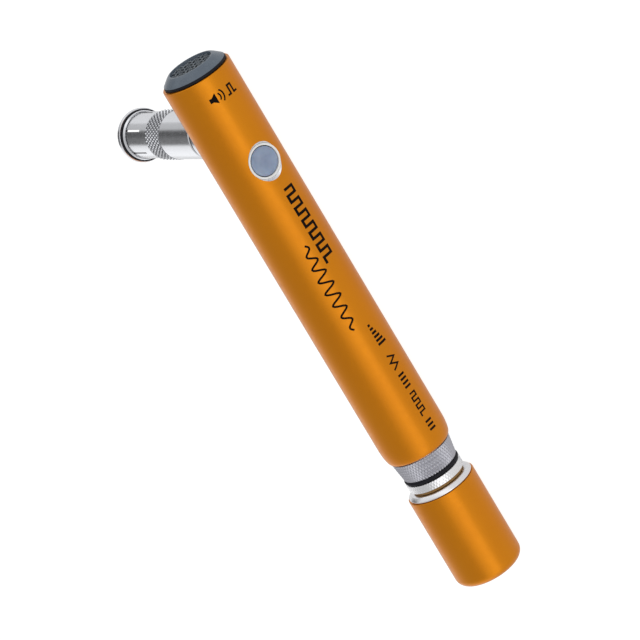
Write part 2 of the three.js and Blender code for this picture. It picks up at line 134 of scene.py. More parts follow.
def turned(outline, soften=0.0, steps=ROUND, axis="X", centre=None, soft_steps=3):
    """A bmesh turned about X, or about Y through centre, from (along, radius) points in mm.

    The outline closes on itself unless it starts and ends on the axis.
    """
    bm = bmesh.new()
    points = [bm.verts.new((along * MM, 0, radius * MM)) for along, radius in outline]
    pairs = list(zip(points, points[1:]))
    open_ended = outline[0][1] == 0
    if not open_ended:
        pairs.append((points[-1], points[0]))
    for a, b in pairs:
        bm.edges.new((a, b))
    if soften:
        corners = [v for v in points if v.co.z > 0]
        bmesh.ops.bevel(bm, geom=corners, offset=soften * MM, affect="VERTICES",
                        segments=soft_steps, profile=0.5, material=-1, clamp_overlap=True)
    bmesh.ops.spin(bm, geom=bm.verts[:] + bm.edges[:], cent=(0, 0, 0), axis=(1, 0, 0),
                   angle=TAU, steps=steps, use_merge=True)
    bmesh.ops.remove_doubles(bm, verts=bm.verts[:], dist=1e-7)
    bmesh.ops.recalc_face_normals(bm, faces=bm.faces[:])
    if axis == "Y":
        turn = Matrix.Rotation(math.pi / 2, 4, "Z")
        bmesh.ops.transform(bm, matrix=Matrix.Translation(centre) @ turn, verts=bm.verts[:])
    return bm


def tube(start, end, inner, outer):
    return [(start, outer), (end, outer), (end, inner), (start, inner)]


def rod(start, end, radius):
    return [(start, 0), (start, radius), (end, radius), (end, 0)]


def cutter(bm, material):
    """A hidden tool for a boolean cut, removed again once the cut is made."""
    mesh = bpy.data.meshes.new("cutter")
    bm.to_mesh(mesh)
    bm.free()
    mesh.materials.append(material)
    tool = bpy.data.objects.new("cutter", mesh)
    bpy.context.scene.collection.objects.link(tool)
    return tool


def carve(bm, material, tools):
    """Cuts each (bmesh, material) tool out of bm; a cut face takes its tool's material."""
    mesh = bpy.data.meshes.new("blank")
    bm.to_mesh(mesh)
    bm.free()
    mesh.materials.append(material)
    blank = bpy.data.objects.new("blank", mesh)
    bpy.context.scene.collection.objects.link(blank)
    used = [cutter(tool, finish) for tool, finish in tools]
    for tool in used:
        cut = blank.modifiers.new("cut", "BOOLEAN")
        cut.operation = "DIFFERENCE"
        cut.solver = "EXACT"
        cut.material_mode = "TRANSFER"
        cut.object = tool
    shaped = blank.evaluated_get(bpy.context.evaluated_depsgraph_get())
    result_mesh = bpy.data.meshes.new_from_object(shaped)
    finishes = list(result_mesh.materials)
    result = bmesh.new()
    result.from_mesh(result_mesh)
    bmesh.ops.remove_doubles(result, verts=result.verts[:], dist=1e-7)
    for leftover in used + [blank]:
        bpy.data.objects.remove(leftover)
    return result, finishes


def radial(co, axis):
    """(angle, radius) of a point about X, or about the port's axis."""
    if axis == "X":
        return math.atan2(co.z, co.y), math.hypot(co.y, co.z)
    return math.atan2(co.z, co.x - PORT_X), math.hypot(co.x - PORT_X, co.z)


def press_pattern(bm, axis, start, end, least_r, depth_at):
    """Moves outer vertices between start and end inwards by depth_at(angle, along)."""
    for vert in bm.verts:
        along = vert.co.x if axis == "X" else vert.co.y
        angle, radius = radial(vert.co, axis)
        if start < along < end and radius > least_r:
            shrink = 1 - depth_at(angle, along) / radius
            if axis == "X":
                vert.co.y *= shrink
                vert.co.z *= shrink
            else:
                vert.co.x = PORT_X + (vert.co.x - PORT_X) * shrink
                vert.co.z *= shrink


def groove(phase):
    """0 on a ridge and 1 in the middle of a V groove, once per whole turn of phase."""
    return abs((phase % 1.0) * 2 - 1) ** 1.4


def diamond_knurl(teeth, pitch, depth):
    """Two crossing sets of grooves: teeth round the piece, pitch apart along it."""
    def depth_at(angle, along):
        around = angle / TAU * teeth
        return depth * max(groove(around + along / pitch), groove(around - along / pitch))
    return depth_at


def refinish(bm, axis, start, end, least_r=0.0, most_r=math.inf, index=1):
    """Gives the faces in a stretch, and between two radii, another of the finishes."""
    for face in bm.faces:
        middle = face.calc_center_median()
        along = middle.x if axis == "X" else middle.y
        if start < along < end and least_r <= radial(middle, axis)[1] < most_r:
            face.material_index = index


def screw_thread(pitch, depth):
    def depth_at(angle, along):
        return depth * groove(along / pitch - angle / TAU)
    return depth_at


# ---- finishes -------------------------------------------------------------------------------
class Finish:
    """A procedural material: one Principled shader with small helpers to feed it."""

    def __init__(self, name, color, roughness, metallic=0.0, **constants):
        self.material = bpy.data.materials.new(name)
        self.material.use_nodes = True
        self.nodes = self.material.node_tree.nodes
        self.links = self.material.node_tree.links
        self.shader = self.nodes["Principled BSDF"]
        self.shader.inputs["Base Color"].default_value = (*color, 1)
        self.shader.inputs["Roughness"].default_value = roughness
        self.shader.inputs["Metallic"].default_value = metallic
        for socket, value in constants.items():
            self.shader.inputs[socket.replace("_", " ")].default_value = value
        self.color = color
        self.place = self.node("ShaderNodeTexCoord").outputs["Object"]

    def node(self, kind, **values):
        made = self.nodes.new(kind)
        for key, value in values.items():
            setattr(made, key, value)
        return made

    def noise(self, scale, detail=3.0, stretch=(1, 1, 1)):
        mapping = self.node("ShaderNodeMapping")
        mapping.inputs["Scale"].default_value = stretch
        self.links.new(self.place, mapping.inputs["Vector"])
        noise = self.node("ShaderNodeTexNoise")
        noise.inputs["Scale"].default_value = scale
        noise.inputs["Detail"].default_value = detail
        self.links.new(mapping.outputs["Vector"], noise.inputs["Vector"])
        return noise.outputs["Fac"]

    def spread(self, value, low, high, from_low=0.3, from_high=0.7):
        span = self.node("ShaderNodeMapRange")
        span.inputs["From Min"].default_value = from_low
        span.inputs["From Max"].default_value = from_high
        span.inputs["To Min"].default_value = low
        span.inputs["To Max"].default_value = high
        self.links.new(value, span.inputs["Value"])
        return span.outputs["Result"]

    def vary_roughness(self, value, low, high):
        self.links.new(self.spread(value, low, high), self.shader.inputs["Roughness"])
        return self

    def vary_color(self, value, other):
        mix = self.node("ShaderNodeMix", data_type="RGBA")
        mix.inputs["A"].default_value = (*self.color, 1)
        mix.inputs["B"].default_value = (*other, 1)
        self.links.new(self.spread(value, 0, 1), mix.inputs["Factor"])
        self.links.new(mix.outputs["Result"], self.shader.inputs["Base Color"])
        return self

    def bump(self, value, distance, strength=1.0):
        bump = self.node("ShaderNodeBump")
        bump.inputs["Distance"].default_value = distance
        bump.inputs["Strength"].default_value = strength
        self.links.new(value, bump.inputs["Height"])
        if self.shader.inputs["Normal"].is_linked:
            self.links.new(self.shader.inputs["Normal"].links[0].from_socket,
                           bump.inputs["Normal"])
        self.links.new(bump.outputs["Normal"], self.shader.inputs["Normal"])
        return self


def orange_anodised():
    finish = Finish("orange_anodised", (0.77, 0.262, 0.003), 0.34, 0.85,
                    Coat_Weight=0.12, Coat_Roughness=0.16)
    finish.vary_roughness(finish.noise(900, 4), 0.3, 0.4)
    finish.vary_color(finish.noise(140, 2, (0.2, 1, 1)), (0.73, 0.237, 0.0025))
    finish.bump(finish.noise(9000, 2), 0.000004, 0.5)
    return finish.material


def turned_metal(name, color, roughness, along):
    """Bright metal with faint tool rings across the axis that it was turned about."""
    finish = Finish(name, color, roughness, 1.0)
    stretch = [(1.0 if i == along else 0.02) for i in range(3)]
    rings = finish.noise(16000, 2, stretch)
    finish.vary_roughness(finish.noise(1500, 3), roughness * 0.8, roughness * 1.35)
    finish.bump(rings, 0.000003, 0.6)
    return finish.material


def moulded(name, color, roughness, other, grain=6000, depth=0.000006, **constants):
    finish = Finish(name, color, roughness, **constants)
    finish.vary_color(finish.noise(400, 3), other)
    finish.vary_roughness(finish.noise(1200, 3), roughness * 0.85, roughness * 1.15)
    finish.bump(finish.noise(grain, 3), depth, 0.6)
    return finish.material


def smoky_button():
    finish = Finish("clear_button", (0.25, 0.29, 0.42), 0.16, 0.0, Coat_Weight=0.6,
                    Coat_Roughness=0.06, Subsurface_Weight=0.25)
    finish.vary_color(finish.noise(350, 2), (0.36, 0.4, 0.54))
    finish.bump(finish.noise(2500, 2), 0.000003, 0.5)
    return finish.material


orange = orange_anodised()
bright_metal = turned_metal("bright_aluminium", (0.95, 0.95, 0.97), 0.22, 0)
grey_metal = turned_metal("grey_aluminium", (0.52, 0.52, 0.57), 0.3, 0)
nickel = turned_metal("nickel", (0.9, 0.915, 0.955), 0.17, 1)
# a dark copy of the nickel: painted shade for the bottoms of the knurl's grooves
groove_shade_nickel = turned_metal("groove_shade_nickel", (0.23, 0.235, 0.255), 0.35, 1)
# a dark copy of the nickel: painted shade inside the collet's slits and bore
bore_shade_nickel = turned_metal("bore_shade_nickel", (0.3, 0.305, 0.33), 0.35, 1)
brass = turned_metal("brass", (0.72, 0.52, 0.22), 0.3, 0)
gold = turned_metal("gold_plate", (0.83, 0.62, 0.25), 0.18, 1)
spring_steel = turned_metal("spring_steel", (0.45, 0.46, 0.48), 0.3, 0)
dark_plastic = moulded("dark_plastic", (0.11, 0.14, 0.18), 0.27, (0.13, 0.165, 0.205))
mesh_paint = moulded("grille_mesh", (0.13, 0.155, 0.18), 0.35, (0.19, 0.22, 0.245))
# the tan_rubber brown-gold is painted shade with a painted orange reflection, for the groove in the
# remote's mouth
tan_rubber = moulded("tan_rubber", (0.3, 0.15, 0.03), 0.5, (0.34, 0.18, 0.045))
black_rubber = moulded("black_rubber", (0.006, 0.006, 0.011), 0.6, (0.009, 0.009, 0.014),
                       Specular_IOR_Level=0.25)
dielectric = moulded("white_dielectric", (0.93, 0.93, 0.91), 0.4, (0.89, 0.88, 0.86))
board_green = moulded("green_board", (0.02, 0.13, 0.05), 0.3, (0.02, 0.1, 0.04))
epoxy = moulded("black_epoxy", (0.015, 0.015, 0.017), 0.5, (0.025, 0.025, 0.027))
carrier_grey = moulded("grey_carrier", (0.16, 0.17, 0.19), 0.5, (0.18, 0.19, 0.21))
cell_jacket = moulded("cell_jacket", (0.04, 0.06, 0.11), 0.3, (0.05, 0.075, 0.13))
amber = moulded("amber_lens", (0.85, 0.5, 0.1), 0.15, (0.8, 0.45, 0.08))
ink = Finish("print_ink", (0.006, 0.003, 0.002), 0.85, Specular_IOR_Level=0.12).material
button_plastic = smoky_button()

FINISH_OF_SLOT = {
    "orange_anodised": orange, "bright_aluminium": bright_metal, "nickel": nickel,
    "brass": brass, "gold_plate": gold, "spring_steel": spring_steel,
    "dark_plastic": dark_plastic, "grille_mesh": mesh_paint, "clear_button": button_plastic,
    "black_rubber": black_rubber, "white_dielectric": dielectric, "green_board": board_green,
    "black_epoxy": epoxy, "grey_carrier": carrier_grey, "cell_jacket": cell_jacket,
    "amber_lens": amber, "tan_rubber": tan_rubber,
}


def dress_frame_nodes():
    """Gives each CAD node the procedural finish of its slot."""
    slot_of = {s["node"]: s["material_slot"] for s in frame["record"]["subparts"]}
    for name, node in frame["nodes"].items():
        node.data.materials.clear()
        node.data.materials.append(FINISH_OF_SLOT[slot_of[name]])


# ---- barrel ---------------------------------------------------------------------------------
def barrel():
    start, end = BARREL_START / MM, BARREL_END / MM
    radius, mouth = BARREL_R / MM, MOUTH_R / MM
    outline = arc(start + MOUTH_ROUND / MM, mouth, MOUTH_ROUND / MM, radius - mouth,
                  180, 90, 10)
    outline += [
        (start + 6, radius),
        (end - 0.5, radius),
        (end - 0.12, radius - 0.02),
        (end, radius - 0.14),
        (end, CAP_SEAT_R / MM),
        (CAP_SEAT / MM, CAP_SEAT_R / MM),
        (CAP_SEAT / MM, BORE_R / MM),
        (start, BORE_R / MM),
    ]
    skin = turned(outline, steps=192)
    top = -radius - 0.06
    depth, spread = COUNTERSINK_DEPTH / MM, COUNTERSINK_SPREAD / MM
    hole_r = BUTTON_HOLE_R / MM
    hole = turned([
        (top - 1, 0), (top - 1, hole_r + spread * (1 + 1 / depth)),
        (top + depth, hole_r), (-1, hole_r), (-1, 0),
    ], axis="Y", centre=BUTTON_AXIS, steps=96)
    port_hole = turned(rod(1, radius + 1, 3.9), axis="Y", centre=PORT_AXIS, steps=64)
    shaped, finishes = carve(skin, orange, [(hole, bright_metal), (port_hole, bright_metal)])
    return place("barrel_skin", shaped, "barrel", ["barrel_tube"], finishes,
                 smooth=25)


# ---- printed marks --------------------------------------------------------------------------
def ribbon(points, width):
    """The outline of a line of even width through points, its corners mitred."""
    points = [Vector(point) for point in points]
    legs = [(b - a).normalized() for a, b in zip(points, points[1:])]
    left, right = [], []
    for i, point in enumerate(points):
        before, after = legs[max(i - 1, 0)], legs[min(i, len(legs) - 1)]
        heading = (before + after).normalized()
        reach = width / 2 / max(heading.dot(after), 0.3)
        across = Vector((-heading.y, heading.x)) * reach
        left.append(point + across)
        right.append(point - across)
    return left + right[::-1]


def bar(u, v, width, height):
    return [(u, v), (u + width, v), (u + width, v + height), (u, v + height)]


def ring_arc(u, v, radius, start, end, width):
    return ribbon(arc(u, v, radius, radius, start, end, 10), width)


def square_wave(u, period, pulses, height, width):
    points = []
    for i in range(pulses):
        left = u + i * period
        points += [(left, -height / 2), (left, height / 2), (left + period / 2, height / 2),
                   (left + period / 2, -height / 2)]
    return ribbon(points + [(u + pulses * period, -height / 2)], width)


def tone_burst(u, length, cycles, height, width):
    """A sine that swells and fades."""
    points = []
    for t in steps_between(0, 1, cycles * 12):
        swell = 0.35 + 0.65 * math.sin(math.pi * t)
        points.append((u + length * t, height / 2 * swell * math.sin(TAU * cycles * t)))
    return ribbon(points, width)


INK_ROOT, INK_TOP = -0.02, 0.015  # mm under and over the barrel's skin
INK_STEP = 0.5                   # mm between the cuts that let a mark bend with the barrel
INK_CUTS = 12                    # cuts on each side of a mark's middle


def printed(mesh_name, outlines, start, angle, around=False):
    """A thin plate of ink on the barrel, drawn in mm from start at an angle.

    The drawing's first axis runs towards the remote, or around the barrel.
    """
    bm = bmesh.new()
    for outline in outlines:
        bm.faces.new([bm.verts.new((*point, 0)) for point in outline])
    bmesh.ops.triangulate(bm, faces=bm.faces[:])
    across = (1, 0, 0) if around else (0, 1, 0)
    for i in range(-INK_CUTS, INK_CUTS + 1):
        bmesh.ops.bisect_plane(bm, geom=bm.verts[:] + bm.edges[:] + bm.faces[:], dist=1e-5,
                               plane_co=[INK_STEP * i * c for c in across], plane_no=across)
    raised = bmesh.ops.extrude_face_region(bm, geom=bm.faces[:], use_keep_orig=True)
    for entry in raised["geom"]:
        if isinstance(entry, bmesh.types.BMVert):
            entry.co.z = 1
    radius = BARREL_R / MM
    for vert in bm.verts:
        u, v, top = vert.co
        turn = math.radians(angle) + (u if around else v) / radius
        along = start + v if around else start - u
        r = radius + (INK_TOP if top else INK_ROOT)
        vert.co = Vector((along, -r * math.cos(turn), -r * math.sin(turn))) * MM
    bmesh.ops.recalc_face_normals(bm, faces=bm.faces[:])
    return place(mesh_name, bm, "barrel", None, ink, weighted=False)


def marks():
    """Generic pictograms: a loudspeaker, pulse trains, a tone burst and level bars."""
    loudspeaker = [
        [(-3.6, -0.5), (-2.9, -0.5), (-1.9, -1.25), (-1.9, 1.25), (-2.9, 0.5), (-3.6, 0.5)],
        ring_arc(-2.1, 0, 1.1, -45, 45, 0.34), ring_arc(-2.1, 0, 1.9, -45, 45, 0.34),
    ]
    pulses = [ribbon([(0.6, -1), (1.4, -1), (1.4, 1), (2.3, 1), (2.3, -1), (3.2, -1)], 0.42)]
    printed("mark_loudspeaker", loudspeaker + pulses, 124.4, -2, around=True)
    printed("mark_pulses", [square_wave(0, 3.1, 6, 2.3, 0.62)], 99.6, 9)
    printed("mark_burst", [tone_burst(0, 21.5, 7, 3.0, 0.45)], 87, -17)
    ladder = [bar(0.95 * i, -1.1, 0.55, 0.6 + 0.36 * i) for i in range(6)]
    row = [ribbon([(8.2, -0.9), (9.1, 0.9), (10.0, -0.9), (10.9, 0.9), (11.8, -0.9)], 0.4)]
    row += [bar(13.2 + 1.0 * i, -0.9, 0.5, 1.8) for i in range(4)]
    row += [square_wave(18.2, 1.9, 3, 1.5, 0.38)]
    row += [bar(25.2 + 1.0 * i, -0.9, 0.5, 1.8) for i in range(3)]
    printed("mark_level", ladder + row, 64.6, 12)


# ---- speaker end ----------------------------------------------------------------------------
CAP_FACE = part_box("top_cap")[1].x / MM
CAP_LIP = CAP_FACE - 2.23
CAP_FOOT = CAP_FACE - 6.5
GRILLE_FLOOR = CAP_FACE - 0.95
GRILLE_SEAT_R = 4.95
GRILLE_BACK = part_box("speaker_grille")[0].x / MM


def speaker_cap():
    """Dished cap with a black lip and a seat for the mesh."""
    shape = turned([
        (CAP_FOOT, 6.9), (CAP_LIP, 6.9), (CAP_LIP, 7.4), (CAP_LIP + 0.6, 7.3),
        (CAP_LIP + 1.1, 6.75), (CAP_LIP + 1.8, 5.95), (CAP_FACE - 0.08, 5.45),
        (CAP_FACE, 5.2), (CAP_FACE, GRILLE_SEAT_R), (GRILLE_FLOOR, GRILLE_SEAT_R),
        (GRILLE_FLOOR, 4.3), (CAP_FOOT, 5.4),
    ], soften=0.07)
    refinish(shape, "X", 0, (CAP_LIP + 0.6) * MM)
    return place("speaker_cap", shape, "barrel", ["top_cap"], [dark_plastic, black_rubber])


def wire(bm, points, radius, sides=6):
    """A round wire through points, its ends capped."""
    rings = []
    last = len(points) - 1
    for i, point in enumerate(points):
        heading = points[min(i + 1, last)] - points[max(i - 1, 0)]
        facing = heading.to_track_quat("Z", "X").to_matrix().to_4x4()
        made = bmesh.ops.create_circle(bm, cap_ends=i in (0, last), segments=sides,
                                       radius=radius,
                                       matrix=Matrix.Translation(point) @ facing)
        ring = set(made["verts"])
        rings.append([e for e in bm.edges if e.verts[0] in ring and e.verts[1] in ring])
    for a, b in zip(rings, rings[1:]):
        bmesh.ops.bridge_loops(bm, edges=a + b)


def speaker_mesh():
    """A woven wire mesh, its wires passing over and under each other."""
    pitch = 1.5
    wire_r = 0.14
    lift = 0.1
    edge = GRILLE_SEAT_R - 0.25
    middle = GRILLE_BACK + 0.25
    turn = Matrix.Rotation(math.radians(20), 3, "X")
    weave = bmesh.new()
    for direction in (0, 1):
        for i in range(-3, 4):
            offset = i * pitch
            half = math.sqrt(edge ** 2 - offset ** 2)
            steps = max(6, round(half * 2 / pitch * 4))
            points = []
            for along in steps_between(-half, half, steps):
                side = (1 if direction else -1) * (1 if i % 2 else -1)
                height = middle + side * lift * math.cos(math.pi * along / pitch)
                flat = (offset, along) if direction else (along, offset)
                points.append(turn @ Vector((height, *flat)) * MM)
            strand = bmesh.new()
            wire(strand, points, wire_r * MM)
            bmesh.ops.recalc_face_normals(strand, faces=strand.faces[:])
            piece_mesh = bpy.data.meshes.new("strand")
            strand.to_mesh(piece_mesh)
            strand.free()
            weave.from_mesh(piece_mesh)
            bpy.data.meshes.remove(piece_mesh)
    return place("speaker_mesh", weave, "barrel", ["speaker_grille"], mesh_paint,
                 smooth=60, weighted=False)


def speaker_cloth():
    """Black cloth right behind the mesh."""
    back = GRILLE_BACK - 0.08
    shape = turned([(back - 0.05, 0), (back - 0.05, 4.8), (back, 4.8), (back, 0)], steps=64)
    return place("speaker_cloth", shape, "barrel", None, black_rubber)


# ---- button ---------------------------------------------------------------------------------
def button():
    """Clear cap with a shallow thumb dish, and the white ring that it slides in."""
    face = button_low.y / MM
    foot = button_high.y / MM
    r = BUTTON_R / MM
    dish = [(face + 0.35 * math.cos(t * math.pi / 2) ** 1.6, r * 0.86 * t)
            for t in steps_between(0, 1, 12)]
    lip = arc(face + 0.3, r - 0.3, 0.3, 0.3, 160, 90, 6)
    shape = turned(dish + lip + [(foot - 0.85, r), (foot - 0.85, 4.4), (foot, 4.4), (foot, 0)],
                   axis="Y", centre=BUTTON_AXIS, steps=96)
    place("button_dish", shape, "button", ["button_cap"], button_plastic)

    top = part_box("button_ring")[0].y / MM
    inner = r + 0.15
    section = [(top + 0.55, inner), (top + 0.2, inner)]
    section += arc(top + 0.2, inner + 0.2, 0.2, 0.2, 260, 180, 5)[1:]
    section += arc(top + 0.14, inner + 0.36, 0.14, 0.14, 180, 90, 5)
    section += [(top + 0.55, inner + 0.18)]
    shape = turned(section, axis="Y", centre=BUTTON_AXIS, steps=96)
    return place("button_collar", shape, "barrel", ["button_ring"], dielectric)


# ---- coax port and push-on adapter ----------------------------------------------------------
RIM_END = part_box("adapter_sleeve")[1].y / MM
ADAPTER_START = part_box("adapter_body")[0].y / MM
KNURL_START = RIM_END - 18.1
KNURL_END = RIM_END - 11.8
KNURL_PITCH = 1.4
PIN_R = 0.42
DIELECTRIC_R = 2.8


def port():
    """Saddle flange on the barrel's side with the coax thread standing out of it."""
    flange_end = PORT_FLANGE_END / MM
    thread = THREAD_R / MM
    stud_end = port_high.y / MM
    outline = [
        (2, PORT_BORE_R), (2, PORT_FLANGE_R / MM), (flange_end - 0.1, PORT_FLANGE_R / MM),
        (flange_end, PORT_FLANGE_R / MM - 0.1), (flange_end, thread - 0.05),
    ]
    outline += [(y, thread) for y in steps_between(flange_end + 0.4, stud_end - 0.4, 52)]
    outline += [(stud_end, thread - 0.4), (stud_end, PORT_BORE_R)]
    shape = turned(outline, axis="Y", centre=PORT_AXIS, steps=96)
    press_pattern(shape, "Y", PORT_FLANGE_END + 0.3 * MM, port_high.y - 0.3 * MM, THREAD_ROOT,
                  screw_thread(THREAD_PITCH, THREAD_DEPTH))
    saddle = turned(rod(PORT_X / MM - 12, PORT_X / MM + 12, BARREL_R / MM + 0.12), steps=128)
    shaped, finishes = carve(shape, nickel, [(saddle, nickel)])
    tail = turned(tube(1.2, BARREL_R / MM + 0.6, PORT_BORE_R, 3.6), axis="Y",
                  centre=PORT_AXIS, steps=64)
    place("port_tail", tail, "barrel", None, nickel)
    return place("port_flange", shaped, "barrel", ["port_body"], finishes)


def adapter_washer():
    low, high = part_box("adapter_gasket")
    shape = turned(tube(low.y / MM, high.y / MM, 4.8, 5.15), soften=0.12, axis="Y",
                   centre=PORT_AXIS)
    return place("adapter_washer", shape, "adapter_seal", ["adapter_gasket"], black_rubber)


def adapter_nut():
    """Smooth body with a diamond-knurled band."""
    body_r, band_r = 5.35, 5.54
    teeth = 40
    outline = [(ADAPTER_START, body_r - 0.2), (ADAPTER_START + 0.2, body_r),
               (ADAPTER_START + 0.5, body_r), (KNURL_START - 0.2, body_r),
               (KNURL_START - 0.05, body_r - 0.12), (KNURL_START + 0.05, band_r - 0.15)]
    outline += [(y, band_r) for y in steps_between(KNURL_START + 0.2, KNURL_END - 0.2, 54)]
    outline += [(KNURL_END, band_r - 0.3), (KNURL_END, 4.7), (KNURL_END - 6.7, 4.7),
                (KNURL_END - 6.7, 3.0), (ADAPTER_START + 7.5, 3.0),
                (ADAPTER_START + 7.5, THREAD_HOLE_R / MM),
                (ADAPTER_START, THREAD_HOLE_R / MM)]
    shape = turned(outline, axis="Y", centre=PORT_AXIS, steps=teeth * 10)
    press_pattern(shape, "Y", (KNURL_START + 0.15) * MM, (KNURL_END - 0.15) * MM, 5.5 * MM,
                  diamond_knurl(teeth, KNURL_PITCH * MM, 0.36 * MM))
    # faces deep in the knurl's grooves take the dark nickel: painted shade in the grooves
    refinish(shape, "Y", KNURL_START * MM, KNURL_END * MM, 5.0 * MM, 5.36 * MM)
    return place("adapter_nut", shape, "adapter", ["adapter_body"], [nickel, groove_shade_nickel])


def adapter_collet():
    """Slit sleeve with a flanged rim that slips over a coax jack."""
    rim = RIM_END
    outline = [
        (KNURL_END - 6.5, 4.5), (KNURL_END + 0.12, 4.5), (KNURL_END + 0.12, 5.08),
        (rim - 2.2, 5.12), (rim - 1.9, 5.2), (rim - 1.7, 5.42), (rim - 1.1, 5.42),
        (rim - 1.1, 5.9), (rim - 1.0, 5.95), (rim - 0.13, 5.95),
        (rim, 5.82), (rim, 5.0), (rim - 0.5, 4.72),
        (rim - 11.2, 4.72), (rim - 11.2, 3.15), (KNURL_END - 6.5, 3.15),
    ]
    shape = turned(outline, soften=0.05, axis="Y", centre=PORT_AXIS, steps=144)
    slit_low, slit_high = (rim - 8.6) * MM, (rim - 2.45) * MM
    tools = []
    # the slits' cut faces take the dark nickel: painted shade in the slits
    for angle in (46, 106, 166):
        slit = bmesh.new()
        size = Matrix.Diagonal((16 * MM, slit_high - slit_low, 0.5 * MM, 1))
        middle = Matrix.Translation((PORT_X, (slit_low + slit_high) / 2, 0))
        bmesh.ops.create_cube(slit, size=1, matrix=middle
                              @ Matrix.Rotation(-math.radians(angle), 4, "Y") @ size)
        tools.append((slit, bore_shade_nickel))
    shaped, finishes = carve(shape, nickel, tools)
    # the bore behind the rim takes the same dark nickel: painted shade inside the sleeve
    bore = [material.name for material in finishes].index(bore_shade_nickel.name)
    refinish(shaped, "Y", 0, (rim - 0.55) * MM, most_r=4.76 * MM, index=bore)
    return place("adapter_collet", shaped, "adapter", ["adapter_sleeve"], finishes)


def grip_ring():
    """Black ring round the slit sleeve, close behind its flange."""
    low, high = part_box("grip_ring")
    shape = turned(tube(low.y / MM, high.y / MM, 5.46, 5.74), soften=0.09, axis="Y",
                   centre=PORT_AXIS)
    return place("collet_grip_ring", shape, "adapter", ["grip_ring"], black_rubber)


def adapter_core():
    """White insulator and gold pin in the middle of the adapter."""
    low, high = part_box("adapter_insulator")
    shape = turned(tube(low.y / MM, high.y / MM, 0.6, DIELECTRIC_R), soften=0.1, axis="Y",
                   centre=PORT_AXIS, steps=64)
    place("adapter_dielectric", shape, "adapter", ["adapter_insulator"], dielectric)
    low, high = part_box("adapter_pin")
    foot, tip = low.y / MM, high.y / MM
    pin = turned([(foot, 0), (foot, PIN_R), (tip - 0.7, PIN_R), (tip - 0.25, 0.28), (tip, 0)],
                 axis="Y", centre=PORT_AXIS, steps=32)
    return place("adapter_centre_pin", pin, "adapter", ["adapter_pin"], gold)


# ---- plug, collar and coax jack -------------------------------------------------------------
PLUG_LOW, PLUG_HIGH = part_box("plug_body")
NECK_START = PLUG_LOW.x / MM + 8.75
NECK_END = NECK_START + 2.05
COLLAR_START = NECK_END + 0.95
COLLAR_END = COLLAR_START + 4.65


def plug():
    """Coax thread, knurled neck, O-ring groove, knurled tapering collar and spigot."""
    teeth = 62
    stud = PLUG_LOW.x / MM
    thread = THREAD_R / MM
    small, large = 6.42, 7.08
    outline = [(stud, thread - 0.4)]
    outline += [(x, thread) for x in steps_between(stud + 0.4, NECK_START - 0.2, 66)]
    outline += [(NECK_START, thread - 0.1), (NECK_START, 6.3)]
    outline += [(x, 6.6) for x in steps_between(NECK_START + 0.15, NECK_END - 0.15, 18)]
    outline += [(NECK_END, 6.35), (NECK_END, 5.6), (COLLAR_START, 5.6),
                (COLLAR_START, small - 0.15)]
    collar = steps_between(COLLAR_START + 0.1, COLLAR_END - 0.1, 42)
    slope = (large - small) / (COLLAR_END - COLLAR_START)
    outline += [(x, small + slope * (x - COLLAR_START)) for x in collar]
    end = PLUG_HIGH.x / MM
    outline += [(COLLAR_END, large - 0.1), (COLLAR_END, 6.15), (end, 6.15), (end, 5.3),
                (COLLAR_START + 2.1, 5.3), (COLLAR_START + 2.1, 1.4),
                (COLLAR_START - 0.8, 1.4), (COLLAR_START - 0.8, PORT_BORE_R),
                (stud, PORT_BORE_R)]
    shape = turned(outline, steps=teeth * 6)
    press_pattern(shape, "X", (stud + 0.3) * MM, (NECK_START - 0.15) * MM, THREAD_ROOT,
                  screw_thread(THREAD_PITCH, THREAD_DEPTH))
    press_pattern(shape, "X", (NECK_START + 0.1) * MM, (NECK_END - 0.1) * MM, 6.4 * MM,
                  diamond_knurl(teeth, KNURL_PITCH * MM, 0.07 * MM))
    press_pattern(shape, "X", (COLLAR_START + 0.05) * MM, (COLLAR_END - 0.05) * MM, 6.3 * MM,
                  diamond_knurl(teeth, KNURL_PITCH * MM, 0.24 * MM))
    refinish(shape, "X", (COLLAR_START - 0.05) * MM, COLLAR_END * MM)
    return place("plug_collar", shape, "plug", ["plug_body"], [bright_metal, grey_metal])


def plug_seal():
    middle = (NECK_END + COLLAR_START) / 2
    section = arc(middle, 6.17, 0.42, 0.42, 180, -180, 16)[:16]
    return place("plug_seal_ring", turned(section), "plug_seal", ["plug_oring"], black_rubber)


# ---- remote ---------------------------------------------------------------------------------
REMOTE_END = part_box("remote_shell")[1].x / MM
INSERT_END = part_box("remote_insert")[1].x / MM


def remote():
    """Orange cap with a rounded end."""
    radius = BARREL_R / MM
    corner = 2.2
    outline = [(0, 0)]
    outline += arc(corner, radius - corner, corner, corner, 180, 90, 12)
    outline += [(corner + 2, radius), (REMOTE_END - 0.5, radius), (REMOTE_END - 0.1, radius - 0.02),
                (REMOTE_END, radius - 0.12), (REMOTE_END, 6.89), (2.4, 6.89), (2.4, 0)]
    return place("remote_cap", turned(outline, steps=192), "remote", ["remote_shell"], orange,
                 smooth=30)


def remote_ring():
    """Bright chamfered ring and threaded sleeve in the remote's mouth."""
    thread = THREAD_HOLE_R / MM
    outline = [
        (10.0, 6.6), (REMOTE_END + 0.1, 6.6), (REMOTE_END + 0.1, 7.6),
        (REMOTE_END + 0.35, 7.62), (INSERT_END - 0.08, 6.95), (INSERT_END, 6.8),
        (INSERT_END, thread + 0.25), (INSERT_END - 0.3, thread), (12.5, thread), (12.5, 3.2),
        (10.0, 3.2),
    ]
    return place("remote_ring", turned(outline, soften=0.05), "remote", ["remote_insert"],
                 bright_metal)


